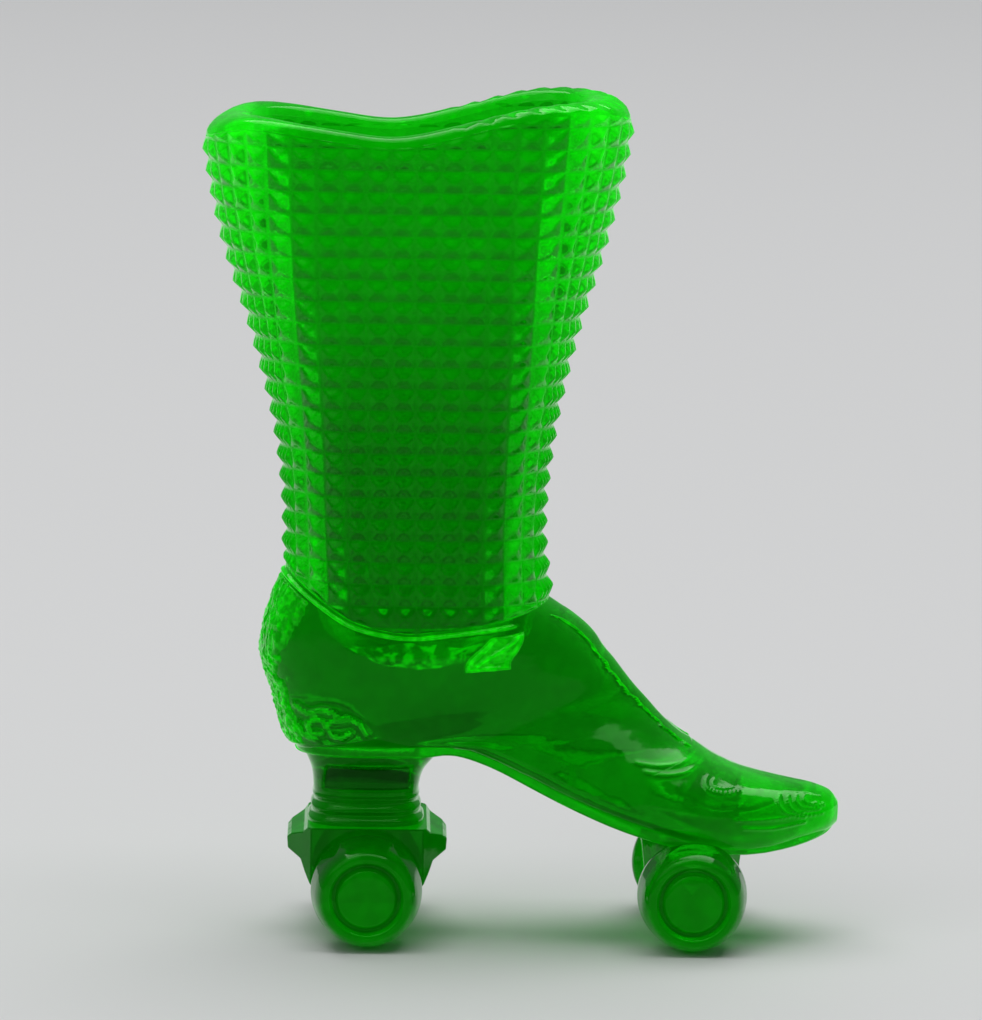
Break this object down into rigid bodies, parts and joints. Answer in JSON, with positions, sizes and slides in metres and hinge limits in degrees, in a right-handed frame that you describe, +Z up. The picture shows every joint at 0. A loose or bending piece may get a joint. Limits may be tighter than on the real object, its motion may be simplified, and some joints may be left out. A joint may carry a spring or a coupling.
{
  "type": "glass roller-skate boot holder",
  "caption": "Small pressed-glass high boot on a roller skate, with a diamond-point leg open at the top as a holder for matches or toothpicks.",
  "frame": {"origin": "on the table under the middle of the part's bounding box, where the wheels rest", "axes": "+X towards the toe, +Y towards the boot's left side, +Z up"},
  "size_m": [0.079, 0.031, 0.1033],
  "materials": {
    "polished_glass": "fire-polished",
    "cut_glass": "pressed facets, glossy",
    "shoe_glass": "smooth pressed, glossy",
    "grained_glass": "stippled, satin gloss",
    "skate_glass": "smooth pressed, glossy",
    "wheel_glass": "smooth pressed, glossy"
  },
  "bodies": {
    "root": {"rim_lip": "polished_glass", "leg": "cut_glass", "collar": "cut_glass", "left_tab": "cut_glass", "right_tab": "cut_glass", "quarter": "shoe_glass", "vamp": "shoe_glass", "toe_cap": "shoe_glass", "instep_strip": "cut_glass", "heel_counter": "grained_glass", "sole": "shoe_glass", "heel_block": "skate_glass", "rear_truck": "skate_glass", "front_truck": "skate_glass", "rear_axle_housing": "skate_glass", "front_axle_housing": "skate_glass", "rear_left_wheel": "wheel_glass", "rear_right_wheel": "wheel_glass", "front_left_wheel": "wheel_glass", "front_right_wheel": "wheel_glass"}
  },
  "joints": []
}
